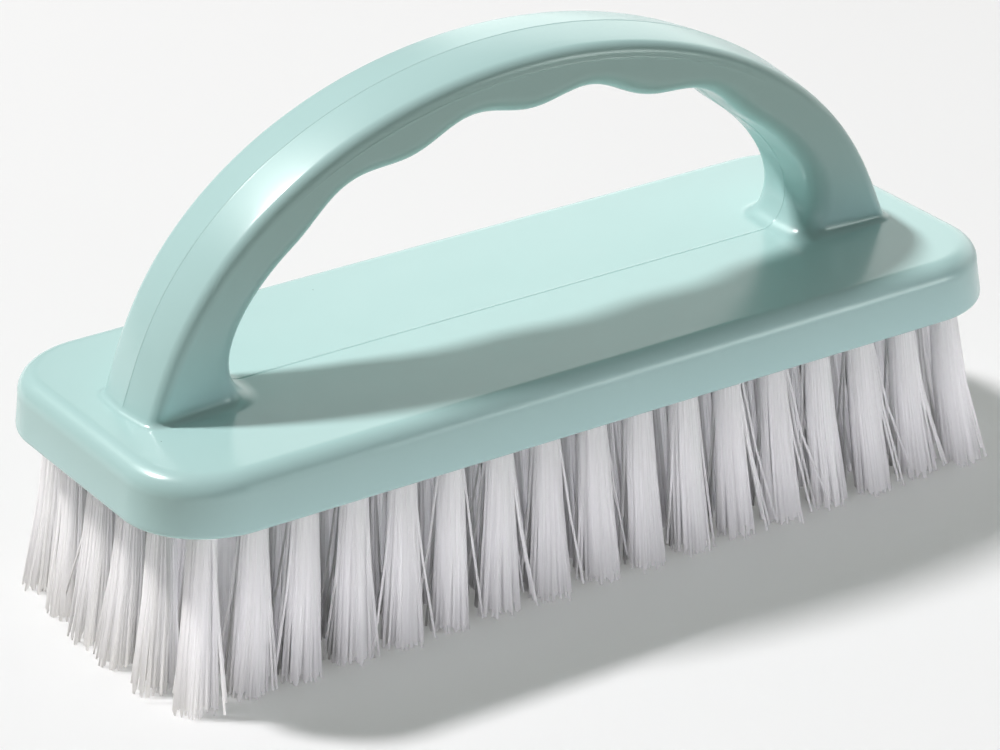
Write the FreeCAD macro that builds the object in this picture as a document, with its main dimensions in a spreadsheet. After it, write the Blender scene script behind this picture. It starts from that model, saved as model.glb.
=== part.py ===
import FreeCAD, Part
import math
import os
import Sketcher

Vector = FreeCAD.Vector

# A scrub brush: one moulded plastic piece, block and bridge handle together, with tufts of bristle
# set in blind sockets under the block. Each tuft is folded over a small metal anchor plate that
# grips the socket's wall.
# Frame: origin on the floor under the middle of the brush, X along it, Z up, tips on Z = 0.

doc = FreeCAD.newDocument("scrub_brush")

# Driving sizes, in millimetres
SIZES = [
    ("block_length", "155"),
    ("block_width", "60"),
    ("block_corner_radius", "14.5"),
    ("block_thickness", "9.2"),
    ("block_draft", "0.6"),
    ("block_top_round", "3.2"),
    ("block_lower_round", "0.7"),
    ("handle_setback", "10"),
    ("handle_rise", "44.7"),
    ("handle_crown_width", "19"),
    ("handle_foot_width", "16.2"),
    ("handle_outer_round", "2.2"),
    ("handle_inner_round", "3.1"),
    ("handle_root_depth", "1"),
    ("arch_centre_drop", "5.9"),
    ("gap_centre_drop", "1.8"),
    ("crown_thickness", "10.4"),
    ("leg_thickness", "11.7"),
    ("finger_pitch", "21"),
    ("finger_depth", "2"),
    ("foot_flare", "6"),
    ("foot_spread", "1.4"),
    ("foot_flare_height", "5"),
    ("foot_fillet", "0.9"),
    ("cut_overrun", "2"),
    ("bristle_length", "29.5"),
    ("tuft_margin_along", "9.5"),
    ("tuft_margin_across", "7.5"),
    ("end_column_bow", "1.7"),
    ("tuft_tip_gap", "1.1"),
    ("tuft_rib_depth", "0.9"),
    ("tip_spread_along", "4"),
    ("tip_spread_across", "1"),
    ("socket_diameter", "4.4"),
    ("socket_depth", "6.6"),
    ("tuft_clearance", "0.05"),
    ("fold_thickness", "1.2"),
    ("anchor_thickness", "0.5"),
    ("anchor_height", "1.8"),
]

# Counts
COLUMNS = 17
ROWS = 6
FINGERS = 4
POINTS_PER_FINGER = 8
TUFT_RIBS = 8
POINTS_PER_RIB = 4

sizes = doc.addObject("Spreadsheet::Sheet", "sizes")
for row, (name, value) in enumerate(SIZES, start=1):
    sizes.set("A%d" % row, name)
    sizes.set("B%d" % row, value)
    sizes.setAlias("B%d" % row, name)
doc.recompute()


def size(name):
    return float(getattr(sizes, name))


def bind(item, **formulas):
    """Bind properties to formulas of the sheet; a double underscore in a name stands for a dot."""
    for name, formula in formulas.items():
        item.setExpression(name.replace("__", "."), formula)
    return item


def origin_plane(body, role):
    return [plane for plane in body.Origin.OriginFeatures if plane.Role == role][0]


def sketch_on(body, name, role, height=None):
    sketch = body.newObject("Sketcher::SketchObject", name)
    sketch.AttachmentSupport = [(origin_plane(body, role), "")]
    sketch.MapMode = "FlatFace"
    if height:
        bind(sketch, AttachmentOffset__Base__z=height)
    return sketch


def add_fillet(body, name, radius, edges):
    """Round those edges of the body's last feature that the given test picks."""
    doc.recompute()
    base = body.Tip
    picked = ["Edge%d" % number for number, edge in enumerate(base.Shape.Edges, start=1) if edges(edge)]
    fillet = body.newObject("PartDesign::Fillet", name)
    fillet.Base = (base, picked)
    bind(fillet, Radius="sizes." + radius)
    return fillet


def middle(edge):
    return edge.valueAt((edge.FirstParameter + edge.LastParameter) / 2)


def lies_level(edge, height):
    box = edge.BoundBox
    return math.isclose(box.ZMin, height, abs_tol=HAIR) and math.isclose(box.ZMax, height, abs_tol=HAIR)


# Heights and half sizes that several pieces share
HAIR_SHARE = 0.1
HAIR = HAIR_SHARE * size("tuft_clearance")
BLOCK_FACE = size("bristle_length")
BLOCK_TOP = BLOCK_FACE + size("block_thickness")
FACE_FORMULA = "sizes.bristle_length"

# Block: a rounded slab with a slight draft, wider at its lower edge
moulding = doc.addObject("PartDesign::Body", "handle_block")
plan = sketch_on(moulding, "block_plan", "XY_Plane", FACE_FORMULA)
half_x = size("block_length") / 2
half_y = size("block_width") / 2
corner = size("block_corner_radius")
corners = [(1, 1), (-1, 1), (-1, -1), (1, -1)]
arcs = []
for quarter, (side_x, side_y) in enumerate(corners):
    centre = Vector(side_x * (half_x - corner), side_y * (half_y - corner), 0)
    circle = Part.Circle(centre, Vector(0, 0, 1), corner)
    start = quarter * math.pi / 2
    arcs.append(plan.addGeometry(Part.ArcOfCircle(circle, start, start + math.pi / 2)))
lines = []
for index, arc in enumerate(arcs):
    following = arcs[(index + 1) % len(arcs)]
    begin = plan.getPoint(arc, 2)
    end = plan.getPoint(following, 1)
    line = plan.addGeometry(Part.LineSegment(begin, end))
    plan.addConstraint(Sketcher.Constraint("Tangent", arc, 2, line, 1))
    plan.addConstraint(Sketcher.Constraint("Tangent", line, 2, following, 1))
    lines.append(line)
plan.addConstraint(Sketcher.Constraint("Horizontal", lines[0]))
plan.addConstraint(Sketcher.Constraint("Vertical", lines[1]))
for arc in arcs[1:]:
    plan.addConstraint(Sketcher.Constraint("Equal", arcs[0], arc))
plan.addConstraint(Sketcher.Constraint("Symmetric", arcs[0], 3, arcs[2], 3, -1, 1))
plan_sizes = [
    ("corner", Sketcher.Constraint("Radius", arcs[0], corner), "sizes.block_corner_radius"),
    (
        "along",
        Sketcher.Constraint("DistanceX", arcs[1], 3, arcs[0], 3, 2 * (half_x - corner)),
        "sizes.block_length - 2 * sizes.block_corner_radius",
    ),
    (
        "across",
        Sketcher.Constraint("DistanceY", arcs[3], 3, arcs[0], 3, 2 * (half_y - corner)),
        "sizes.block_width - 2 * sizes.block_corner_radius",
    ),
]
for name, constraint, formula in plan_sizes:
    index = plan.addConstraint(constraint)
    plan.renameConstraint(index, name)
    plan.setExpression("Constraints." + name, formula)

slab = moulding.newObject("PartDesign::Pad", "block_slab")
slab.Profile = plan
bind(
    slab,
    Length="sizes.block_thickness",
    TaperAngle="-atan(sizes.block_draft / sizes.block_thickness)",
)
add_fillet(moulding, "block_top_edge", "block_top_round", lambda edge: lies_level(edge, BLOCK_TOP))
add_fillet(moulding, "block_lower_edge", "block_lower_round", lambda edge: lies_level(edge, BLOCK_FACE))

# Handle: an elliptical arch over the block, scooped for four fingers and flared at its feet. The hand
# gap under it is an ellipse with a centre of its own.
HANDLE_REACH = half_x - size("handle_setback")
HANDLE_TOP = BLOCK_TOP + size("handle_rise")
ROOT_LEVEL = BLOCK_TOP - size("handle_root_depth")
CROWN_HALF = size("handle_crown_width") / 2
FOOT_HALF = size("handle_foot_width") / 2
OUTER_HEIGHT = size("handle_rise") + size("arch_centre_drop")
OUTER_REACH = HANDLE_REACH / math.sqrt(1 - (size("arch_centre_drop") / OUTER_HEIGHT) ** 2)
INNER_HEIGHT = size("handle_rise") - size("crown_thickness") + size("gap_centre_drop")
INNER_REACH = OUTER_REACH - size("leg_thickness")
OUTER_ARCH = (OUTER_REACH, OUTER_HEIGHT, BLOCK_TOP - size("arch_centre_drop"))
INNER_ARCH = (INNER_REACH, INNER_HEIGHT, BLOCK_TOP - size("gap_centre_drop"))


def arch_point(arch, angle, lift=0):
    """A point of an arch, drawn in the X-Z plane and moved outwards by the lift."""
    reach, height, centre = arch
    outward = Vector(math.cos(angle) / reach, math.sin(angle) / height, 0)
    outward.normalize()
    return Vector(reach * math.cos(angle), centre + height * math.sin(angle), 0) + outward * lift


def finger_scoop(x):
    if abs(x) > FINGERS / 2 * size("finger_pitch"):
        return 0
    return size("finger_depth") * math.sin(math.pi * x / size("finger_pitch")) ** 2


def flare_at_foot(flare, z):
    """How far a foot's inner or outer side stands out at a height: it dies away upwards."""
    return size(flare) * math.exp((BLOCK_TOP - z) / size("foot_flare_height"))


def start_angle(arch):
    _, height, centre = arch
    return math.asin((ROOT_LEVEL - centre) / height)


def arch_points(arch, lift_at):
    """Points of an arch from root to root, each moved outwards by what the rule gives for its place."""
    points = []
    steps = 2 * FINGERS * POINTS_PER_FINGER
    start = start_angle(arch)
    for step in range(steps + 1):
        angle = start + (math.pi - 2 * start) * step / steps
        points.append(arch_point(arch, angle, lift_at(arch_point(arch, angle))))
    points[0].y = ROOT_LEVEL
    points[-1].y = ROOT_LEVEL
    return points


outer_points = arch_points(OUTER_ARCH, lambda place: flare_at_foot("foot_spread", place.y))
inner_points = arch_points(
    INNER_ARCH, lambda place: finger_scoop(place.x) - flare_at_foot("foot_flare", place.y)
)
side = sketch_on(moulding, "handle_side", "XZ_Plane")
for points in (outer_points, inner_points):
    curve = Part.BSplineCurve()
    curve.interpolate(points)
    side.addGeometry(curve)
for end in (0, -1):
    side.addGeometry(Part.LineSegment(outer_points[end], inner_points[end]))
bar = moulding.newObject("PartDesign::Pad", "handle_bar")
bar.Profile = side
bar.SideType = "Symmetric"
bind(bar, Length="sizes.handle_crown_width")
doc.recompute()
bar_volume = bar.Shape.Volume

# The handle narrows from its crown to its feet: a wedge comes off each of its sides
wedges = sketch_on(moulding, "handle_wedges", "YZ_Plane")
for way in (1, -1):
    outside = CROWN_HALF + size("cut_overrun")
    outline = [
        Vector(way * FOOT_HALF, BLOCK_TOP, 0),
        Vector(way * outside, BLOCK_TOP, 0),
        Vector(way * outside, HANDLE_TOP, 0),
        Vector(way * CROWN_HALF, HANDLE_TOP, 0),
    ]
    for index, point in enumerate(outline):
        wedges.addGeometry(Part.LineSegment(point, outline[(index + 1) % len(outline)]))
taper = moulding.newObject("PartDesign::Pocket", "handle_taper")
taper.Profile = wedges
taper.SideType = "Symmetric"
bind(taper, Length="sizes.block_length")
doc.recompute()
print("the taper takes %.0f mm3 off the handle" % (bar_volume - taper.Shape.Volume))


def half_width_at(z):
    return FOOT_HALF + (CROWN_HALF - FOOT_HALF) * (z - BLOCK_TOP) / size("handle_rise")


def on_side_face(edge):
    point = middle(edge)
    return math.isclose(abs(point.y), half_width_at(point.z), abs_tol=HAIR) and point.z > BLOCK_TOP + HAIR


def is_outer(edge):
    return middle(edge).z > HANDLE_TOP - size("crown_thickness") / 2


add_fillet(
    moulding, "handle_outer_edges", "handle_outer_round", lambda edge: on_side_face(edge) and is_outer(edge)
)
add_fillet(
    moulding,
    "handle_inner_edges",
    "handle_inner_round",
    lambda edge: on_side_face(edge) and not is_outer(edge) and edge.Length > HANDLE_REACH,
)


def at_foot(edge):
    point = middle(edge)
    foot_reach = HANDLE_REACH + size("foot_spread")
    within = abs(point.y) < FOOT_HALF + HAIR and abs(point.x) < foot_reach + HAIR
    return lies_level(edge, BLOCK_TOP) and within


add_fillet(moulding, "foot_fillets", "foot_fillet", at_foot)

# Tuft places: a grid inside the block's margins, with the two end columns bowed outwards between
# their corner tufts
MID_COLUMN = (COLUMNS - 1) / 2
MID_ROW = (ROWS - 1) / 2


def tuft_shares(column, row):
    """How far a tuft stands from the middle towards the last column and the last row, from -1 to 1."""
    return (column - MID_COLUMN) / MID_COLUMN, (row - MID_ROW) / MID_ROW


def end_bow(column, row):
    """Which way the end column's bow moves a tuft: 0 away from the ends and at the corners."""
    along_share, across_share = tuft_shares(column, row)
    if abs(along_share) < 1 or abs(across_share) == 1:
        return 0
    return along_share


def root_centre(column, row):
    along_share, across_share = tuft_shares(column, row)
    x = along_share * (half_x - size("tuft_margin_along")) + end_bow(column, row) * size("end_column_bow")
    y = across_share * (half_y - size("tuft_margin_across"))
    return Vector(x, y, 0)


def root_place(column, row):
    """The same place as formulas of the sheet."""
    along_share, across_share = tuft_shares(column, row)
    along = "%g * (sizes.block_length / 2 - sizes.tuft_margin_along)" % along_share
    along += " + %g * sizes.end_column_bow" % end_bow(column, row)
    across = "%g * (sizes.block_width / 2 - sizes.tuft_margin_across)" % across_share
    return along, across


def tip_place(column, row):
    """Formulas for the middle of a tuft's tip: the outer tufts lean outwards."""
    along, across = root_place(column, row)
    along_share, across_share = tuft_shares(column, row)
    along += " + %g * sizes.tip_spread_along" % along_share
    across += " + %g * sizes.tip_spread_across" % across_share
    return along, across


# Sockets: blind holes in the block's lower face, one for each tuft
socket_plan = sketch_on(moulding, "socket_plan", "XY_Plane", FACE_FORMULA)
first_socket = None
for column in range(COLUMNS):
    for row in range(ROWS):
        radius = size("socket_diameter") / 2
        centre = root_centre(column, row)
        socket = socket_plan.addGeometry(Part.Circle(centre, Vector(0, 0, 1), radius))
        if first_socket is None:
            first_socket = socket
            index = socket_plan.addConstraint(Sketcher.Constraint("Diameter", socket, 2 * radius))
            socket_plan.setExpression("Constraints[%d]" % index, "sizes.socket_diameter")
        else:
            socket_plan.addConstraint(Sketcher.Constraint("Equal", first_socket, socket))
        along, across = root_place(column, row)
        index = socket_plan.addConstraint(Sketcher.Constraint("DistanceX", -1, 1, socket, 3, centre.x))
        socket_plan.setExpression("Constraints[%d]" % index, along)
        index = socket_plan.addConstraint(Sketcher.Constraint("DistanceY", -1, 1, socket, 3, centre.y))
        socket_plan.setExpression("Constraints[%d]" % index, across)
doc.recompute()
solid_volume = moulding.Tip.Shape.Volume
sockets = moulding.newObject("PartDesign::Pocket", "sockets")
sockets.Profile = socket_plan
sockets.Reversed = True
bind(sockets, Length="sizes.socket_depth")
doc.recompute()
socket_volume = COLUMNS * ROWS * size("socket_depth") * math.pi * size("socket_diameter") ** 2 / 4
print("sockets cut %.1f of %.1f mm3" % (solid_volume - sockets.Shape.Volume, socket_volume))

# Tufts and anchors, one node for each crosswise column
ROOT_RADIUS = "sizes.socket_diameter / 2 - sizes.tuft_clearance"
ROOT_TOP = FACE_FORMULA + " + sizes.socket_depth - sizes.tuft_clearance"
ANCHOR_LENGTH = "(sizes.socket_diameter - 2 * sizes.tuft_clearance)"
ANCHOR_BASE = ROOT_TOP + " - sizes.fold_thickness - sizes.anchor_height"


def add_ring(name, radius, along, across, height):
    ring = doc.addObject("Part::Circle", name)
    return bind(
        ring,
        Radius=radius,
        Placement__Base__x=along,
        Placement__Base__y=across,
        Placement__Base__z=height,
    )


def add_ribbed_ring(name, along, across):
    """The outline of a tuft's tip: its filaments gather into ribs, with hollows between them."""
    pitch = (size("block_length") - 2 * size("tuft_margin_along")) / (COLUMNS - 1)
    mean_radius = (pitch - size("tuft_tip_gap") - size("tuft_rib_depth")) / 2
    points = []
    steps = TUFT_RIBS * POINTS_PER_RIB
    for step in range(steps):
        angle = 2 * math.pi * step / steps
        radius = mean_radius + size("tuft_rib_depth") / 2 * math.cos(TUFT_RIBS * angle)
        points.append(Vector(radius * math.cos(angle), radius * math.sin(angle), 0))
    outline = Part.BSplineCurve()
    outline.interpolate(points, PeriodicFlag=True)
    ring = doc.addObject("Part::Feature", name)
    ring.Shape = Part.Wire([outline.toShape()])
    return bind(ring, Placement__Base__x=along, Placement__Base__y=across)


def add_plate(name, along, across, length, thickness, base, height):
    """A thin upright plate whose length lies along the brush."""
    plate = doc.addObject("Part::Box", name)
    return bind(
        plate,
        Length=length,
        Width=thickness,
        Height=height,
        Placement__Base__x="%s - (%s) / 2" % (along, length),
        Placement__Base__y="%s - (%s) / 2" % (across, thickness),
        Placement__Base__z=base,
    )


def add_group(name, members):
    group = doc.addObject("Part::Compound", name)
    group.Links = members
    return group


nodes = [moulding]
for column in range(COLUMNS):
    tufts = []
    slots = []
    anchors = []
    for row in range(ROWS):
        label = "%02d_%d" % (column + 1, row + 1)
        along, across = root_place(column, row)
        tip_along, tip_across = tip_place(column, row)
        tuft = doc.addObject("Part::Loft", "tuft_" + label)
        tuft.Sections = [
            add_ring("tuft_root_" + label, ROOT_RADIUS, along, across, ROOT_TOP),
            add_ring("tuft_neck_" + label, ROOT_RADIUS, along, across, FACE_FORMULA),
            add_ribbed_ring("tuft_tip_" + label, tip_along, tip_across),
        ]
        tuft.Solid = True
        tuft.Ruled = True
        tufts.append(tuft)
        slots.append(
            add_plate(
                "slot_" + label,
                along,
                across,
                "sizes.socket_diameter",
                "sizes.anchor_thickness + 2 * sizes.tuft_clearance",
                ANCHOR_BASE + " - sizes.tuft_clearance",
                "sizes.anchor_height + 2 * sizes.tuft_clearance",
            )
        )
        anchors.append(
            add_plate(
                "anchor_" + label,
                along,
                across,
                ANCHOR_LENGTH,
                "sizes.anchor_thickness",
                ANCHOR_BASE,
                "sizes.anchor_height",
            )
        )
    tuft_column = doc.addObject("Part::Cut", "tuft_column_%02d" % (column + 1))
    tuft_column.Base = add_group("tufts_%02d" % (column + 1), tufts)
    tuft_column.Tool = add_group("slots_%02d" % (column + 1), slots)
    nodes.append(tuft_column)
    nodes.append(add_group("anchor_column_%02d" % (column + 1), anchors))
doc.recompute()

# Every feature has to be sound before anything is written
for item in doc.Objects:
    if "Invalid" in item.State or "Error" in item.State:
        raise RuntimeError("%s failed: %s" % (item.Label, item.State))
for node in nodes:
    if node.Shape.isNull() or not node.Shape.isValid():
        raise RuntimeError("%s has no valid shape" % node.Label)

os.makedirs("parts", exist_ok=True)
for node in nodes:
    box = node.Shape.BoundBox
    print(
        "%s: %d solids, %.0f mm3, %.1f x %.1f x %.1f mm"
        % (node.Label, len(node.Shape.Solids), node.Shape.Volume, box.XLength, box.YLength, box.ZLength)
    )
    node.Shape.exportStep("parts/%s.step" % node.Label)
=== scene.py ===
import bmesh
import bpy
import math
import numpy as np
from mathutils import Matrix, Vector


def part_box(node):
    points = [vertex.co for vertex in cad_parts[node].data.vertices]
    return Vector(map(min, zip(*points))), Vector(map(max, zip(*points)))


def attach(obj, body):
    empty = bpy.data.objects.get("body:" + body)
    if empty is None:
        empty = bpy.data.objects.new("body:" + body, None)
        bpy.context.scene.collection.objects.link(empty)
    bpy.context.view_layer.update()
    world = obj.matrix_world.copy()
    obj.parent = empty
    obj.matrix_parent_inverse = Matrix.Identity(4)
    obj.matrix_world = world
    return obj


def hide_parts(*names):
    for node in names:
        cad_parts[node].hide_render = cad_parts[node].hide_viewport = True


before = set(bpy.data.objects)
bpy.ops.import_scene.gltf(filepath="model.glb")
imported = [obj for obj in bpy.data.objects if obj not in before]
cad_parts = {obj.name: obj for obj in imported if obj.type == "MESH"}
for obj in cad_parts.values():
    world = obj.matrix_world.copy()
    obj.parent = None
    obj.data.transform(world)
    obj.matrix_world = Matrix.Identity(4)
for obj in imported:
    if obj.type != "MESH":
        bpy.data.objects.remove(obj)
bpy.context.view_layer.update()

# Block and handle
# One moulding in satin mint plastic: a rounded block with a bridge handle, scooped for the fingers.
# The mould parts along the middle of the handle and leaves a fine raised line there.
block_low, block_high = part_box("handle_block")
HALF_LENGTH = block_high.x
HALF_BREADTH = block_high.y
BLOCK_FACE = block_low.z
BLOCK_THICKNESS = 0.0092
BLOCK_TOP = BLOCK_FACE + BLOCK_THICKNESS
CORNER_RADIUS = 0.0145
CORNER_STEPS = 20
BLOCK_DRAFT = 0.0006
TOP_ROUND = 0.0033
LOWER_ROUND = 0.0007
ROUND_STEPS = 10
FLAT_BAND = 0.0003

HANDLE_SETBACK = 0.010
OUTER_DROP = 0.0059
INNER_DROP = 0.0018
CROWN_THICKNESS = 0.0104
LEG_THICKNESS = 0.0117
CROWN_HALF_WIDTH = 0.0095
FOOT_HALF_WIDTH = 0.0081
OUTER_RIDGE_SLOPE = 0.055
OUTER_FACE_RADIUS = 0.08
OUTER_ROUND_WAY = 0.0019
INNER_RIDGE_SLOPE = 0.05
INNER_ROUND_WAY = 0.003
INNER_FOOT_ROUND_WAY = 0.0036
FOOT_ROUND_RISE = 0.022
FINGER_PITCH = 0.021
FINGER_DEPTH = 0.002
FINGER_REACH = 2 * FINGER_PITCH
FOOT_FLARE = 0.006
FOOT_SPREAD = 0.0014
FOOT_FLARE_HEIGHT = 0.005
OUTER_FOOT_FILLET = 0.0009
INNER_FOOT_FILLET = 0.0022
ARCH_STEPS = 220
SIDE_STEPS = 5
FILLET_STEPS = 8

PARTING_HEIGHT = 0.00006
PARTING_SPOTS = [(0.0, 1.0), (0.00006, 0.65), (0.00013, 0.0), (0.0002, 0.0)]
WITNESS_HEIGHT = 0.00007
WITNESS_SPOTS = [(0.00012, 0.0), (0.0002, 0.7), (0.00026, 1.0), (0.00032, 0.7), (0.0004, 0.0)]
WITNESS_REACH = 0.046
WITNESS_FADE = 0.012


def block_ring(inset, rise):
    """One level outline of the block: a rounded rectangle, drawn in from its widest one."""
    radius = CORNER_RADIUS - inset
    points = []
    for quarter, (side_x, side_y) in enumerate([(1, 1), (-1, 1), (-1, -1), (1, -1)]):
        for step in range(CORNER_STEPS + 1):
            angle = (quarter + step / CORNER_STEPS) * math.pi / 2
            x = side_x * (HALF_LENGTH - CORNER_RADIUS) + radius * math.cos(angle)
            y = side_y * (HALF_BREADTH - CORNER_RADIUS) + radius * math.sin(angle)
            points.append((x, y, BLOCK_FACE + rise))
    return points


def block_rings():
    """Outlines from the underside, up the drafted wall and over the broad upper rounding."""
    quarter_turn = [math.pi / 2 * step / ROUND_STEPS for step in range(ROUND_STEPS + 1)]
    top_inset = BLOCK_DRAFT + TOP_ROUND
    profile = [(LOWER_ROUND + FLAT_BAND, 0)]
    profile += [(LOWER_ROUND * (1 - math.sin(a)), LOWER_ROUND * (1 - math.cos(a))) for a in quarter_turn]
    profile += [(0, LOWER_ROUND + FLAT_BAND), (BLOCK_DRAFT, BLOCK_THICKNESS - TOP_ROUND - FLAT_BAND)]
    profile += [
        (top_inset - TOP_ROUND * math.cos(a), BLOCK_THICKNESS - TOP_ROUND * (1 - math.sin(a)))
        for a in quarter_turn
    ]
    profile += [(top_inset + FLAT_BAND, BLOCK_THICKNESS)]
    return [block_ring(inset, rise) for inset, rise in profile]


def arch_line(reach, height, drop, fillet):
    """Points of an elliptical arch whose centre lies below the block's top, and its normals."""
    start = math.asin((drop + fillet) / height)
    angles = np.linspace(start, math.pi - start, ARCH_STEPS + 1)
    points = np.stack([reach * np.cos(angles), BLOCK_TOP - drop + height * np.sin(angles)], axis=1)
    normals = np.stack([np.cos(angles) / reach, np.sin(angles) / height], axis=1)
    return points, normals / np.linalg.norm(normals, axis=1, keepdims=True)


def half_width(z):
    """The handle is wider over the hand than at its feet."""
    share = (z - BLOCK_TOP) / (block_high.z - BLOCK_TOP)
    return FOOT_HALF_WIDTH + (CROWN_HALF_WIDTH - FOOT_HALF_WIDTH) * share


def handle_section(thickness, half, inner_way, witness):
    """Half of the handle's section as pairs of depth from the inner face and side way, from its outer
    middle to its inner middle. Each is an array with one value for every step along the arch."""
    even = np.ones_like(thickness)
    spots = [spot for spot, _ in PARTING_SPOTS]
    section = []
    edge = half - OUTER_ROUND_WAY
    lean = np.arctan(OUTER_RIDGE_SLOPE + edge / OUTER_FACE_RADIUS)
    radius = OUTER_ROUND_WAY / (1 - np.sin(lean))
    for side in [spot * even for spot in spots] + [edge / 4, edge / 2, 3 * edge / 4, edge]:
        drop = OUTER_RIDGE_SLOPE * side + side**2 / (2 * OUTER_FACE_RADIUS)
        section.append((thickness - drop, side))
    shoulder = thickness - drop - radius * np.cos(lean)
    for share in np.linspace(0, 1, ROUND_STEPS + 1)[1:]:
        angle = lean + share * (math.pi / 2 - lean)
        section.append((shoulder + radius * np.cos(angle), half - radius * (1 - np.sin(angle))))
    for spot, height_share in WITNESS_SPOTS:
        section.append((shoulder - spot, half + WITNESS_HEIGHT * height_share * witness))

    edge = half - inner_way
    lean = math.atan(INNER_RIDGE_SLOPE)
    radius = inner_way / (1 - math.sin(lean))
    upper = shoulder - WITNESS_SPOTS[-1][0] - FLAT_BAND
    lower = INNER_RIDGE_SLOPE * edge + radius * math.cos(lean)
    for share in np.linspace(0, 1, SIDE_STEPS + 1):
        section.append((upper + share * (lower + FLAT_BAND - upper), half))
    for angle in np.linspace(math.pi / 2, lean, ROUND_STEPS + 1):
        section.append((lower - radius * math.cos(angle), half - radius * (1 - math.sin(angle))))
    for side in [2 * edge / 3, edge / 3] + [spot * even for spot in reversed(spots)]:
        section.append((INNER_RIDGE_SLOPE * side, side))
    return section


def closed_section(half):
    """A whole section from one half and its mirror image, without repeating the two middle points."""
    mirrored = [(depth, -side) for depth, side in half[-2:0:-1]]
    return half + mirrored


def grid_normals(grid):
    """Outward normals of a tube of rings."""
    around = np.roll(grid, -1, axis=1) - np.roll(grid, 1, axis=1)
    along = np.gradient(grid, axis=0)
    normals = np.cross(around, along)
    return normals / np.linalg.norm(normals, axis=2, keepdims=True)


def foot_rings(ring, down, outward):
    """Rings of the hollow fillet that runs from a foot's wall out onto the block's top."""
    rise = ring[:, 2:] - BLOCK_TOP
    corner = ring + down * (rise / -down[:, 2:])
    reach = np.linalg.norm(corner - ring, axis=1, keepdims=True)
    end = corner + outward * reach
    turn = np.arccos(np.sum(down * outward, axis=1, keepdims=True))
    hold = 4 / 3 * np.tan(turn / 4) * reach / np.tan(turn / 2)
    rings = []
    for t in np.linspace(0, 1, FILLET_STEPS + 1)[1:]:
        rings.append(
            (1 - t) ** 3 * ring
            + 3 * (1 - t) ** 2 * t * (ring + down * hold)
            + 3 * (1 - t) * t**2 * (end - outward * hold)
            + t**3 * end
        )
    rings.append(end + outward * FLAT_BAND)
    return rings


def handle_grid():
    """The handle as rings of points, from one foot's spread on the block to the other's."""
    rise = block_high.z - PARTING_HEIGHT - BLOCK_TOP
    outer_height = rise + OUTER_DROP
    outer_reach = (HALF_LENGTH - HANDLE_SETBACK) / math.sqrt(1 - (OUTER_DROP / outer_height) ** 2)
    outer, _ = arch_line(outer_reach, outer_height, OUTER_DROP, OUTER_FOOT_FILLET)
    outer_rise = outer[:, 1] - BLOCK_TOP
    outer[:, 0] += np.sign(outer[:, 0]) * FOOT_SPREAD * np.exp(-outer_rise / FOOT_FLARE_HEIGHT)
    inner_height = rise - CROWN_THICKNESS + INNER_DROP
    inner_reach = outer_reach - LEG_THICKNESS
    inner, inner_normals = arch_line(inner_reach, inner_height, INNER_DROP, INNER_FOOT_FILLET)
    scoop = FINGER_DEPTH * np.sin(math.pi * inner[:, :1] / FINGER_PITCH) ** 2
    inner = inner + inner_normals * np.where(abs(inner[:, :1]) < FINGER_REACH, scoop, 0)
    inner_rise = inner[:, 1] - BLOCK_TOP
    inner[:, 0] -= np.sign(inner[:, 0]) * FOOT_FLARE * np.exp(-inner_rise / FOOT_FLARE_HEIGHT)

    thickness = np.linalg.norm(outer - inner, axis=1)
    across = (outer - inner) / thickness[:, None]
    half = half_width((outer[:, 1] + inner[:, 1]) / 2)
    near_foot = np.clip(1 - inner_rise / FOOT_ROUND_RISE, 0, 1) ** 2
    inner_way = INNER_ROUND_WAY + (INNER_FOOT_ROUND_WAY - INNER_ROUND_WAY) * near_foot
    witness = np.clip((WITNESS_REACH - abs(outer[:, 0])) / WITNESS_FADE, 0, 1)
    section = closed_section(handle_section(thickness, half, inner_way, witness))
    depth = np.stack([depth for depth, _ in section], axis=1)
    side = np.stack([side for _, side in section], axis=1)
    x = inner[:, :1] + across[:, :1] * depth
    z = inner[:, 1:] + across[:, 1:] * depth
    grid = np.stack([x, side * half_width(z) / half[:, None], z], axis=2)

    normals = grid_normals(grid)
    ends = []
    for first, second in [(0, 1), (-1, -2)]:
        down = grid[first] - grid[second]
        down /= np.linalg.norm(down, axis=1, keepdims=True)
        outward = normals[first] * [1, 1, 0]
        outward /= np.linalg.norm(outward, axis=1, keepdims=True)
        ends.append(foot_rings(grid[first], down, outward))
    return np.array(ends[0][::-1] + list(grid) + ends[1])


def raise_parting_line(grid):
    """The mould's fine line along the middle of the outer and the inner face; returns its inner columns."""
    normals = grid_normals(grid)
    count = grid.shape[1]
    middle = count // 2
    fade = np.ones(len(grid))
    fade[: FILLET_STEPS + 1] = 0
    fade[-FILLET_STEPS - 1 :] = 0
    for index, (_, height_share) in enumerate(PARTING_SPOTS):
        height = PARTING_HEIGHT * height_share
        for column in {index, -index}:
            grid[:, column] += normals[:, column] * (height * fade)[:, None]
        for column in {middle - index, middle + index}:
            grid[:, column] += normals[:, column] * height
    reach = len(PARTING_SPOTS) - 2
    return list(range(middle - reach, middle + reach + 1))


def bridge(mesh, first, second):
    """Quads between two closed rings of vertices."""
    for index in range(len(first)):
        after = (index + 1) % len(first)
        mesh.faces.new([first[index], first[after], second[after], second[index]])


def add_rings(mesh, rings):
    """Vertices for rings of points, joined by quads."""
    made = [[mesh.verts.new(point) for point in ring] for ring in rings]
    for first, second in zip(made, made[1:]):
        bridge(mesh, first, second)
    return made


def ring_edges(mesh, ring):
    return [mesh.edges.get([ring[index - 1], ring[index]]) for index in range(len(ring))]


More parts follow.
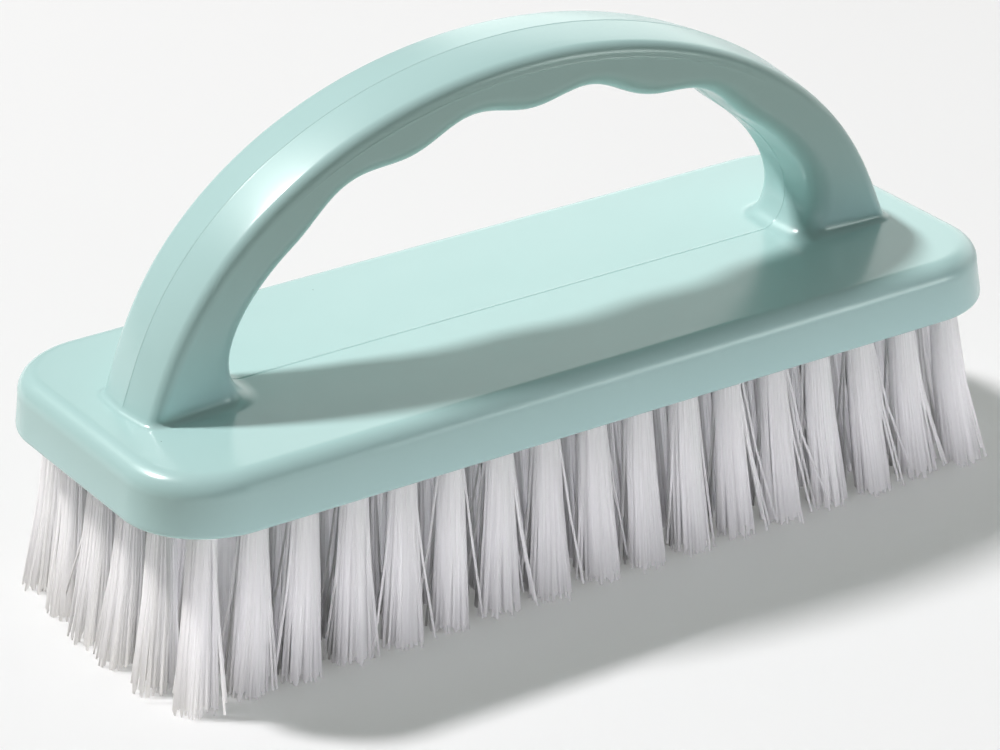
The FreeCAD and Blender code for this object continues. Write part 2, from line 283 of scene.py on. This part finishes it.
# Sockets: blind holes in the underside, one for each tuft, in 17 columns of 6
COLUMNS = 17
ROWS = 6
MID_COLUMN = (COLUMNS - 1) / 2
MID_ROW = (ROWS - 1) / 2
TUFT_MARGIN_ALONG = 0.0095
TUFT_MARGIN_ACROSS = 0.0075
END_BOW = 0.0017
SOCKET_RADIUS = 0.0022
SOCKET_DEPTH = 0.0066
SOCKET_RIM = 0.0002
SOCKET_SIDES = 16
COLUMN_PITCH = (HALF_LENGTH - TUFT_MARGIN_ALONG) / MID_COLUMN
ROW_PITCH = (HALF_BREADTH - TUFT_MARGIN_ACROSS) / MID_ROW


def column_bow(column):
    """How far the middle tufts of an end column stand out past its corner tufts."""
    steps = column - MID_COLUMN
    return math.copysign(END_BOW, steps) if abs(steps) == MID_COLUMN else 0


def socket_rings(column, row):
    bow = column_bow(column) if abs(row - MID_ROW) < MID_ROW else 0
    x = (column - MID_COLUMN) * COLUMN_PITCH + bow
    y = (row - MID_ROW) * ROW_PITCH
    rings = []
    for radius, rise in [
        (SOCKET_RADIUS + SOCKET_RIM + FLAT_BAND, 0),
        (SOCKET_RADIUS + SOCKET_RIM, 0),
        (SOCKET_RADIUS, SOCKET_RIM),
        (SOCKET_RADIUS, SOCKET_DEPTH),
    ]:
        angles = [2 * math.pi * side / SOCKET_SIDES for side in range(SOCKET_SIDES)]
        rings.append(
            [(x + radius * math.cos(a), y + radius * math.sin(a), BLOCK_FACE + rise) for a in angles]
        )
    return rings


SHARP_ANGLE = math.radians(40)
moulding_mesh = bmesh.new()
block = add_rings(moulding_mesh, block_rings())
grid = handle_grid()
parting_columns = raise_parting_line(grid)
handle = add_rings(moulding_mesh, grid)
for column, after in zip(parting_columns, parting_columns[1:]):
    near, far = handle[0], handle[-1]
    moulding_mesh.faces.new([near[column], near[after], far[after], far[column]])
top_edges = ring_edges(moulding_mesh, block[-1])
for foot in (handle[0], handle[-1]):
    line_points = {foot[column] for column in parting_columns}
    top_edges += [edge for edge in ring_edges(moulding_mesh, foot) if not set(edge.verts) <= line_points]
for column in (parting_columns[0], parting_columns[-1]):
    top_edges.append(moulding_mesh.edges.get([handle[0][column], handle[-1][column]]))
bmesh.ops.triangle_fill(moulding_mesh, edges=top_edges, use_beauty=True, normal=(0, 0, 1))

face_edges = ring_edges(moulding_mesh, block[0])
for column in range(COLUMNS):
    for row in range(ROWS):
        socket = add_rings(moulding_mesh, socket_rings(column, row))
        moulding_mesh.faces.new(socket[-1])
        face_edges += ring_edges(moulding_mesh, socket[0])
bmesh.ops.triangle_fill(moulding_mesh, edges=face_edges, use_beauty=True, normal=(0, 0, -1))
bmesh.ops.recalc_face_normals(moulding_mesh, faces=moulding_mesh.faces)
for face in moulding_mesh.faces:
    face.smooth = True
for edge in moulding_mesh.edges:
    edge.smooth = edge.calc_face_angle(0) < SHARP_ANGLE


def new_piece(name, mesh):
    piece = bpy.data.objects.new(name, mesh)
    bpy.context.scene.collection.objects.link(piece)
    return piece


moulding_data = bpy.data.meshes.new("moulding")
moulding_mesh.to_mesh(moulding_data)
moulding_mesh.free()
moulding = new_piece("moulding", moulding_data)


class Wire:
    """A node's output that can be used in sums."""

    def __init__(self, sheet, socket):
        self.sheet = sheet
        self.socket = socket

    def __add__(self, other):
        return self.sheet.math("ADD", self, other)

    def __radd__(self, other):
        return self.sheet.math("ADD", other, self)

    def __sub__(self, other):
        return self.sheet.math("SUBTRACT", self, other)

    def __rsub__(self, other):
        return self.sheet.math("SUBTRACT", other, self)

    def __mul__(self, other):
        return self.sheet.math("MULTIPLY", self, other)

    def __rmul__(self, other):
        return self.sheet.math("MULTIPLY", other, self)

    def __truediv__(self, other):
        return self.sheet.math("DIVIDE", self, other)

    def __pow__(self, other):
        return self.sheet.math("POWER", self, other)

    def __gt__(self, other):
        return self.sheet.math("GREATER_THAN", self, other)

    def __lt__(self, other):
        return self.sheet.math("LESS_THAN", self, other)


class NodeSheet:
    """A node tree that is filled by one method."""

    def __init__(self, tree):
        self.tree = tree
        tree.nodes.clear()

    def add(self, kind, settings=None, sockets=None, out=0):
        node = self.tree.nodes.new(kind)
        for name, value in (settings or {}).items():
            setattr(node, name, value)
        for key, value in (sockets or {}).items():
            if isinstance(value, Wire):
                self.tree.links.new(value.socket, node.inputs[key])
            else:
                node.inputs[key].default_value = value
        return Wire(self, node.outputs[out]) if node.outputs else None

    def math(self, operation, *values):
        return self.add("ShaderNodeMath", {"operation": operation}, dict(enumerate(values)))

    def noise(self, place, scale, detail):
        return self.add("ShaderNodeTexNoise", {}, {"Vector": place, "Scale": scale, "Detail": detail})

    def blend(self, share, first, second):
        """The first colour where the share is 0, and the second where it is 1."""
        return self.add("ShaderNodeMix", {"data_type": "RGBA"}, {0: share, 6: first, 7: second}, out=2)


def new_material(name):
    material = bpy.data.materials.new(name)
    material.use_nodes = True
    return material, NodeSheet(material.node_tree)


MINT = (0.49, 0.72, 0.70, 1)
MINT_DEEP = (0.465, 0.70, 0.675, 1)
SPECK = (0.10, 0.16, 0.15, 1)
SPECK_SIZE = 0.022
SPECK_PICK = 0.56
SPECK_STRENGTH = 0.7
SATIN_ROUGHNESS = 0.17
HANDLED_ROUGHNESS = 0.1
GRAIN_SHARE = 0.06
RELIEF_STRENGTH = 0.12
RELIEF_HEIGHT = 0.0002
PLASTIC_IOR = 1.49
satin_plastic, sheet = new_material("satin_mint_plastic")
place = sheet.add("ShaderNodeTexCoord", out="Object")
clouds = sheet.noise(place, scale=45, detail=3)
tone = sheet.blend(clouds, MINT_DEEP, MINT)
speck_gap = sheet.add("ShaderNodeTexVoronoi", {}, {"Vector": place, "Scale": 110}, out="Distance")
speck_pick = sheet.noise(place, scale=70, detail=0)
speck = (speck_gap < SPECK_SIZE) * (speck_pick > SPECK_PICK)
colour = sheet.blend(SPECK_STRENGTH * speck, tone, SPECK)
handling = sheet.noise(place, scale=130, detail=5)
roughness = SATIN_ROUGHNESS + HANDLED_ROUGHNESS * handling
ripple = sheet.noise(place, scale=160, detail=2)
grain = sheet.noise(place, scale=2200, detail=2)
relief = sheet.add(
    "ShaderNodeBump",
    {},
    {"Strength": RELIEF_STRENGTH, "Distance": RELIEF_HEIGHT, "Height": ripple + GRAIN_SHARE * grain},
)
surface = sheet.add(
    "ShaderNodeBsdfPrincipled",
    {},
    {"Base Color": colour, "Roughness": roughness, "Normal": relief, "IOR": PLASTIC_IOR},
)
sheet.add("ShaderNodeOutputMaterial", {}, {"Surface": surface})
moulding.data.materials.append(satin_plastic)
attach(moulding, "root")
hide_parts("handle_block")

# Anchors
# Short plates of flat steel wire, one in each socket. Each is driven in across a folded tuft and
# bites into the socket's wall, so no glue is needed.
STEEL = (0.60, 0.60, 0.61, 1)
STEEL_WORN = (0.48, 0.48, 0.49, 1)
DRAWN_STREAKS = (200, 4000, 4000)
WIRE_ROUGHNESS = 0.25
STREAK_ROUGHNESS = 0.2
drawn_wire, sheet = new_material("drawn_flat_wire")
place = sheet.add("ShaderNodeTexCoord", out="Object")
stretched = sheet.add("ShaderNodeMapping", {}, {"Vector": place, "Scale": DRAWN_STREAKS})
streaks = sheet.noise(stretched, scale=1, detail=3)
tone = sheet.blend(streaks, STEEL_WORN, STEEL)
roughness = WIRE_ROUGHNESS + STREAK_ROUGHNESS * streaks
surface = sheet.add(
    "ShaderNodeBsdfPrincipled", {}, {"Base Color": tone, "Metallic": 1, "Roughness": roughness}
)
sheet.add("ShaderNodeOutputMaterial", {}, {"Surface": surface})
for name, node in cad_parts.items():
    if name.startswith("anchor_column"):
        node.data.materials.clear()
        node.data.materials.append(drawn_wire)

# Tufts
# Stiff white filaments, cut to length, folded over an anchor and driven into a socket. They spread
# towards their level tips, and a few stand out from their tuft. One piece for each column of six.
FILAMENT_RADIUS = 0.00019
FILAMENT_SIDES = 5
FILAMENT_POINTS = 6
FILAMENTS = 100
ROOT_RADIUS = SOCKET_RADIUS - FILAMENT_RADIUS
TIP_RADIUS = 0.0032
TIP_SPREAD_ALONG = 0.004
TIP_SPREAD_ACROSS = 0.001
TIP_REACH = HALF_LENGTH - FILAMENT_RADIUS
TIP_REACH_ACROSS = HALF_BREADTH - FILAMENT_RADIUS
FOLD_RISE = 0.0061
SHOULDER_RISE = 0.0055
BELOW_ANCHOR_RISE = 0.0033
ANCHOR_ROOM = 0.0005
GOLDEN_ANGLE = math.pi * (3 - math.sqrt(5))
TUFT_TURN = 1.3
CLUMPS = 8
CLUMPING = 0.6
BUNDLE_RISE = 0.1
BUNDLING = 0.5
TUFT_FLARE = (0.9, 1.12)
STRAND_FLARE = (-0.1, 0.12)
STRAY_ABOVE = 0.89
STRAY_FLARE = (0.3, 1.4)
STRAY_LIFT = 0.001
STRAND_WANDER = (-0.0003, 0.0003)
TUFT_WANDER_ALONG = (-0.0005, 0.0005)
TUFT_WANDER_ACROSS = (-0.0004, 0.0004)
LOWEST_TIP = 0.00006
TIP_UNEVENNESS = 0.0017
FOLD_SQUEEZE_ALONG = 0.85
FOLD_SQUEEZE_ACROSS = 0.2
ANCHOR_SQUEEZE_ALONG = 0.9
ANCHOR_SQUEEZE_ACROSS = 0.65
MIDDLE_RISE = 0.5
MIDDLE_SPREAD = 0.44
MIDDLE_WANDER = (-0.0002, 0.0002)
SEEDS_PER_COLUMN = 100

FILAMENT_DULL = (0.955, 0.958, 0.938, 1)
FILAMENT_WHITE = (0.985, 0.988, 0.968, 1)
FILAMENT_GLOW = (0.97, 0.973, 0.953, 1)
FILAMENT_ROUGHNESS = 0.3
CLOUDY_ROUGHNESS = 0.15
FILAMENT_IOR = 1.5
GLOW_SHARE = 0.25
SHADOW_CLEARNESS = 0.86
filament, sheet = new_material("white_filament")
place = sheet.add("ShaderNodeTexCoord", out="Object")
strand = sheet.add("ShaderNodeAttribute", {"attribute_name": "strand"}, out="Fac")
tone = sheet.blend(strand, FILAMENT_DULL, FILAMENT_WHITE)
roughness = FILAMENT_ROUGHNESS + CLOUDY_ROUGHNESS * sheet.noise(place, scale=900, detail=2)
surface = sheet.add(
    "ShaderNodeBsdfPrincipled", {}, {"Base Color": tone, "Roughness": roughness, "IOR": FILAMENT_IOR}
)
glow = sheet.add("ShaderNodeBsdfTranslucent", {}, {"Color": FILAMENT_GLOW})
both = sheet.add("ShaderNodeMixShader", {}, {0: GLOW_SHARE, 1: surface, 2: glow})
shadow_ray = sheet.add("ShaderNodeLightPath", out="Is Shadow Ray")
clear = sheet.add("ShaderNodeBsdfTransparent")
lit_through = sheet.add("ShaderNodeMixShader", {}, {0: SHADOW_CLEARNESS * shadow_ray, 1: both, 2: clear})
sheet.add("ShaderNodeOutputMaterial", {}, {"Surface": lit_through})

tuft_tree = bpy.data.node_groups.new("tuft_column", "GeometryNodeTree")
sheet = NodeSheet(tuft_tree)
tuft_tree.interface.new_socket("Geometry", in_out="OUTPUT", socket_type="NodeSocketGeometry")
TUFT_INPUTS = {
    "Root X": "NodeSocketFloat",
    "End Bow": "NodeSocketFloat",
    "Lean Along": "NodeSocketFloat",
    "Lean Across": "NodeSocketFloat",
    "Row Pitch": "NodeSocketFloat",
    "Root Radius": "NodeSocketFloat",
    "Tip Radius": "NodeSocketFloat",
    "Filaments": "NodeSocketInt",
    "Filament Radius": "NodeSocketFloat",
    "Seed": "NodeSocketInt",
}
tuft_sockets = {
    name: tuft_tree.interface.new_socket(name, in_out="INPUT", socket_type=kind).identifier
    for name, kind in TUFT_INPUTS.items()
}
group_input = tuft_tree.nodes.new("NodeGroupInput")
given = {name: Wire(sheet, group_input.outputs[name]) for name in TUFT_INPUTS}


def chance(ident, salt, low, high):
    """A random value for each strand or tuft, the same on every run. Each use has a salt of its own."""
    return sheet.add(
        "FunctionNodeRandomValue",
        {"data_type": "FLOAT"},
        {2: low, 3: high, "ID": ident, "Seed": given["Seed"] + salt},
        out=1,
    )


def spot(x, y, z):
    return sheet.add("ShaderNodeCombineXYZ", {}, {0: x, 1: y, 2: z})


strand_line = sheet.add("GeometryNodeCurvePrimitiveLine", {}, {"End": (0, 0, 1)})
strand_line = sheet.add("GeometryNodeResampleCurve", {}, {"Curve": strand_line, "Count": FILAMENT_POINTS})
copies = tuft_tree.nodes.new("GeometryNodeDuplicateElements")
copies.domain = "SPLINE"
tuft_tree.links.new(strand_line.socket, copies.inputs["Geometry"])
tuft_tree.links.new((given["Filaments"] * ROWS).socket, copies.inputs["Amount"])
strand_number = Wire(sheet, copies.outputs["Duplicate Index"])
row = sheet.math("FLOOR", strand_number / given["Filaments"])
number = strand_number - row * given["Filaments"]
steps_across = row - MID_ROW
is_inner = sheet.math("ABSOLUTE", steps_across) < MID_ROW
root_x = given["Root X"] + is_inner * given["End Bow"]
root_y = steps_across * given["Row Pitch"]

spread = sheet.math("SQRT", (number + 0.5) / given["Filaments"])
angle = number * GOLDEN_ANGLE + row * TUFT_TURN
neck_x = given["Root Radius"] * spread * sheet.math("COSINE", angle)
neck_y = given["Root Radius"] * spread * sheet.math("SINE", angle)
clump_angle = angle - CLUMPING / CLUMPS * sheet.math("SINE", angle * CLUMPS)
way_x = sheet.math("COSINE", clump_angle)
way_y = sheet.math("SINE", clump_angle)
stray = (chance(strand_number, 1, 0, 1) > STRAY_ABOVE) * chance(strand_number, 2, *STRAY_FLARE)
flare = chance(row, 3, *TUFT_FLARE) + chance(strand_number, 4, *STRAND_FLARE) + stray
tip_x = given["Tip Radius"] * spread * flare * way_x + chance(strand_number, 5, *STRAND_WANDER)
tip_y = given["Tip Radius"] * spread * flare * way_y + chance(strand_number, 6, *STRAND_WANDER)
lean_across = given["Lean Across"] * steps_across / MID_ROW
tip_x = root_x + tip_x + given["Lean Along"] + chance(row, 7, *TUFT_WANDER_ALONG)
tip_y = root_y + tip_y + lean_across + chance(row, 8, *TUFT_WANDER_ACROSS)
tip_x = sheet.math("MAXIMUM", sheet.math("MINIMUM", tip_x, TIP_REACH), -TIP_REACH)
tip_y = sheet.math("MAXIMUM", sheet.math("MINIMUM", tip_y, TIP_REACH_ACROSS), -TIP_REACH_ACROSS)
tip_z = LOWEST_TIP + TIP_UNEVENNESS * chance(strand_number, 9, 0, 1) ** 3 + STRAY_LIFT * stray

side = sheet.math("SIGN", neck_y)
beside = side * (ANCHOR_ROOM + ANCHOR_SQUEEZE_ACROSS * sheet.math("ABSOLUTE", neck_y))
fold_x = root_x + FOLD_SQUEEZE_ALONG * neck_x
middle_x = (1 - MIDDLE_SPREAD) * (root_x + neck_x) + MIDDLE_SPREAD * tip_x
middle_y = (1 - MIDDLE_SPREAD) * (root_y + neck_y) + MIDDLE_SPREAD * tip_y
stations = [
    spot(fold_x, root_y + FOLD_SQUEEZE_ACROSS * beside, BLOCK_FACE + FOLD_RISE),
    spot(fold_x, root_y + beside, BLOCK_FACE + SHOULDER_RISE),
    spot(root_x + ANCHOR_SQUEEZE_ALONG * neck_x, root_y + beside, BLOCK_FACE + BELOW_ANCHOR_RISE),
    spot(root_x + neck_x, root_y + neck_y, BLOCK_FACE),
    spot(
        middle_x + chance(strand_number, 10, *MIDDLE_WANDER),
        middle_y + chance(strand_number, 11, *MIDDLE_WANDER),
        MIDDLE_RISE * BLOCK_FACE,
    ),
    spot(tip_x, tip_y, tip_z),
]
progress = sheet.add("GeometryNodeSplineParameter", out="Factor") * (FILAMENT_POINTS - 1)
path = stations[0]
for index, station in enumerate(stations[1:]):
    path = sheet.add(
        "ShaderNodeMix",
        {"data_type": "VECTOR", "clamp_factor": True},
        {0: progress - index, 4: path, 5: station},
        out=1,
    )
strands = sheet.add(
    "GeometryNodeSetPosition", {}, {"Geometry": Wire(sheet, copies.outputs["Geometry"]), "Position": path}
)
strands = sheet.add(
    "GeometryNodeStoreNamedAttribute",
    {"data_type": "FLOAT", "domain": "CURVE"},
    {"Geometry": strands, "Name": "strand", "Value": chance(strand_number, 12, 0, 1)},
)
bundle_way = spot(spread * way_x, spread * way_y, BUNDLE_RISE)
strands = sheet.add(
    "GeometryNodeStoreNamedAttribute",
    {"data_type": "FLOAT_VECTOR", "domain": "CURVE"},
    {"Geometry": strands, "Name": "bundle_way", "Value": bundle_way},
)
profile = sheet.add(
    "GeometryNodeCurvePrimitiveCircle",
    {},
    {"Resolution": FILAMENT_SIDES, "Radius": given["Filament Radius"]},
)
tubes = sheet.add(
    "GeometryNodeCurveToMesh", {}, {"Curve": strands, "Profile Curve": profile, "Fill Caps": True}
)
tubes = sheet.add("GeometryNodeRealizeInstances", {}, {"Geometry": tubes})
tubes = sheet.add("GeometryNodeSetMaterial", {}, {"Geometry": tubes, "Material": filament})
sheet.add("NodeGroupOutput", {}, {"Geometry": tubes})


def shade_as_bundles(mesh):
    """Turns the strands' normals towards their tuft's sides, because light spreads through clear strands."""
    normals = np.empty((len(mesh.vertices), 3), np.float32)
    mesh.vertex_normals.foreach_get("vector", normals.ravel())
    bundle_ways = np.empty_like(normals)
    mesh.attributes["bundle_way"].data.foreach_get("vector", bundle_ways.ravel())
    normals = (1 - BUNDLING) * normals + BUNDLING * bundle_ways
    normals /= np.linalg.norm(normals, axis=1, keepdims=True)
    mesh.normals_split_custom_set_from_vertices(normals.tolist())


for column in range(COLUMNS):
    name = "tuft_column_%02d" % (column + 1)
    blank = new_piece("blank_" + name, bpy.data.meshes.new("blank_" + name))
    modifier = blank.modifiers.new("tufts", "NODES")
    modifier.node_group = tuft_tree
    steps_along = column - MID_COLUMN
    values = {
        "Root X": steps_along * COLUMN_PITCH,
        "End Bow": column_bow(column),
        "Lean Along": TIP_SPREAD_ALONG * steps_along / MID_COLUMN,
        "Lean Across": TIP_SPREAD_ACROSS,
        "Row Pitch": ROW_PITCH,
        "Root Radius": ROOT_RADIUS,
        "Tip Radius": TIP_RADIUS,
        "Filaments": FILAMENTS,
        "Filament Radius": FILAMENT_RADIUS,
        "Seed": SEEDS_PER_COLUMN * column,
    }
    for socket, value in values.items():
        modifier[tuft_sockets[socket]] = value
    evaluated = blank.evaluated_get(bpy.context.evaluated_depsgraph_get())
    bristles = bpy.data.meshes.new_from_object(evaluated)
    bpy.data.objects.remove(blank)
    bristles.shade_smooth()
    shade_as_bundles(bristles)
    tufts = new_piece("bristles_%02d" % (column + 1), bristles)
    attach(tufts, "root")
    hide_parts(name)

# Floor
# A plain pale sheet under the brush, which takes its shadow.
FLOOR_REACH = 4.0
FLOOR_WHITE = (0.725, 0.74, 0.745, 1)
FLOOR_GLOW = (0.13, 0.13, 0.12, 1)
FLOOR_BOUNCE = (0.65, 0.64, 0.6, 1)
UNLIT = (0, 0, 0, 1)
PAPER_ROUGHNESS = 0.9
floor_mesh = bmesh.new()
bmesh.ops.create_grid(floor_mesh, x_segments=1, y_segments=1, size=FLOOR_REACH)
floor_data = bpy.data.meshes.new("floor")
floor_mesh.to_mesh(floor_data)
floor_mesh.free()
floor = new_piece("floor", floor_data)
paper, sheet = new_material("pale_paper")
seen = sheet.add("ShaderNodeLightPath", out="Is Camera Ray")
mirrored = sheet.add("ShaderNodeLightPath", out="Is Glossy Ray")
shown = seen + mirrored
tone = sheet.blend(shown, FLOOR_BOUNCE, FLOOR_WHITE)
glow = sheet.blend(shown, UNLIT, FLOOR_GLOW)
surface = sheet.add(
    "ShaderNodeBsdfPrincipled",
    {},
    {"Base Color": tone, "Roughness": PAPER_ROUGHNESS, "Emission Color": glow, "Emission Strength": 1},
)
sheet.add("ShaderNodeOutputMaterial", {}, {"Surface": surface})
floor.data.materials.append(paper)

# Light
# One soft lamp high behind the left end, and three low strip lamps that fill the shadows and light the
# bristles. The surround is pale, and in the gloss it also shows a backdrop, a window and a side light.
KEY_WAY = (-0.366, 0.4426, 0.819)
KEY_DISTANCE = 4.0
KEY_SIZE = 0.5
KEY_POWER = 150
KEY_COLOUR = (1.0, 0.96, 0.97)
SURROUND = 0.26
SURROUND_COLOUR = (0.97, 1.0, 0.97, 1)
BEHIND = (0.53, 0.85, 0)
RIGHT_OF_BEHIND = (0.85, -0.53, 0)
WINDOW_WAY = (-0.25, 0.62, 0.744)
SIDE_WAY = (0.593, -0.79, 0.155)
DARK_SIDE = 0.2
BACKDROP_GLOW = 1.4
WINDOW_GLOW = 7.0
SIDE_GLOW = 8.0
BACKDROP_EDGE_BEHIND = (0, 0.5)
BACKDROP_EDGE_LEFT = (-0.14, -0.04)
BACKDROP_EDGE_ABOVE = (0.42, 0.6)
WINDOW_FOCUS = 60
SIDE_FOCUS = 80
SURROUND_LOW = 0.15
SURROUND_RISE = 1.3
SURROUND_TURN = 0.5
key_data = bpy.data.lights.new("key", "AREA")
key_data.shape = "DISK"
key_data.size = KEY_SIZE
key_data.energy = KEY_POWER
key_data.color = KEY_COLOUR
key = bpy.data.objects.new("key", key_data)
bpy.context.scene.collection.objects.link(key)
key.location = [KEY_DISTANCE * part for part in KEY_WAY]
key.rotation_euler = (-key.location).to_track_quat("-Z", "Y").to_euler()

FILL_COLOUR = (0.91, 0.885, 1.0)
FRONT_STRIP = {
    "place": (0.17, -0.25, 0.012),
    "aim": (0.035, 0.0, 0.010),
    "length": 0.4,
    "height": 0.03,
    "spread": math.radians(20),
    "power": 0.032,
}
BRISTLE_STRIP = {
    "place": (-0.32, -0.18, 0.012),
    "aim": (0.0, 0.0, 0.014),
    "length": 0.3,
    "height": 0.008,
    "spread": math.radians(9),
    "power": 0.0104,
}
BACK_STRIP = {**BRISTLE_STRIP, "place": (0.26, 0.26, 0.012), "power": 0.005}


def add_strip(name, strip):
    """A low strip lamp that can't be seen in the gloss."""
    lamp = bpy.data.lights.new(name, "AREA")
    lamp.shape = "RECTANGLE"
    lamp.size = strip["length"]
    lamp.size_y = strip["height"]
    lamp.spread = strip["spread"]
    lamp.energy = strip["power"]
    lamp.color = FILL_COLOUR
    stand = bpy.data.objects.new(name, lamp)
    bpy.context.scene.collection.objects.link(stand)
    stand.visible_glossy = False
    stand.location = strip["place"]
    stand.rotation_euler = (Vector(strip["aim"]) - stand.location).to_track_quat("-Z", "Y").to_euler()


add_strip("front_strip", FRONT_STRIP)
add_strip("bristle_strip", BRISTLE_STRIP)
add_strip("back_strip", BACK_STRIP)

world = bpy.data.worlds.new("surround")
bpy.context.scene.world = world
world.use_nodes = True
sheet = NodeSheet(world.node_tree)
seen = sheet.add("ShaderNodeLightPath", out="Is Camera Ray")
mirrored = sheet.add("ShaderNodeLightPath", out="Is Glossy Ray")
way = sheet.add("ShaderNodeTexCoord", out="Generated")


def along(axis):
    """How far the way looked in runs along an axis."""
    return sheet.add("ShaderNodeVectorMath", {"operation": "DOT_PRODUCT"}, {0: way, 1: axis}, out="Value")


def fade_in(value, start, end):
    """Rises smoothly from 0 at the start to 1 at the end."""
    settings = {"interpolation_type": "SMOOTHSTEP"}
    return sheet.add("ShaderNodeMapRange", settings, {0: value, 1: start, 2: end})


behind = along(BEHIND)
height = along((0, 0, 1))
right = along(RIGHT_OF_BEHIND)
backdrop = fade_in(behind, *BACKDROP_EDGE_BEHIND) * fade_in(right, *BACKDROP_EDGE_LEFT)
backdrop = backdrop * (1 - fade_in(height, *BACKDROP_EDGE_ABOVE))
window = sheet.math("MAXIMUM", along(WINDOW_WAY), 0) ** WINDOW_FOCUS
side = sheet.math("MAXIMUM", along(SIDE_WAY), 0) ** SIDE_FOCUS
reflected = DARK_SIDE + BACKDROP_GLOW * backdrop + WINDOW_GLOW * window + SIDE_GLOW * side
upward = SURROUND_LOW + SURROUND_RISE * sheet.math("MAXIMUM", height, 0)
ambient = SURROUND * upward * (1 + SURROUND_TURN * behind + SURROUND_TURN * right)
strength = ambient + (1 - ambient) * seen + mirrored * (reflected - ambient)
surface = sheet.add("ShaderNodeBackground", {}, {"Color": SURROUND_COLOUR, "Strength": strength})
sheet.add("ShaderNodeOutputWorld", {}, {"Surface": surface})

# Camera
# Above the front left corner of the brush, with a long lens.
CAMERA_PLACE = (-0.31667, -0.49948, 0.30629)
CAMERA_RIGHT = (0.8407, -0.5411, -0.021)
CAMERA_UP = (0.2478, 0.35, 0.9034)
CAMERA_BACK = (-0.4814, -0.7647, 0.4284)
CAMERA_LENS = 149.36
CAMERA_SENSOR = 36
camera_data = bpy.data.cameras.new("camera")
camera_data.sensor_fit = "HORIZONTAL"
camera_data.sensor_width = CAMERA_SENSOR
camera_data.lens = CAMERA_LENS
camera = bpy.data.objects.new("camera", camera_data)
bpy.context.scene.collection.objects.link(camera)
columns = zip(CAMERA_RIGHT, CAMERA_UP, CAMERA_BACK, CAMERA_PLACE)
camera.matrix_world = Matrix([*columns, (0, 0, 0, 1)])
bpy.context.scene.camera = camera

bpy.context.scene.view_settings.view_transform = "Standard"
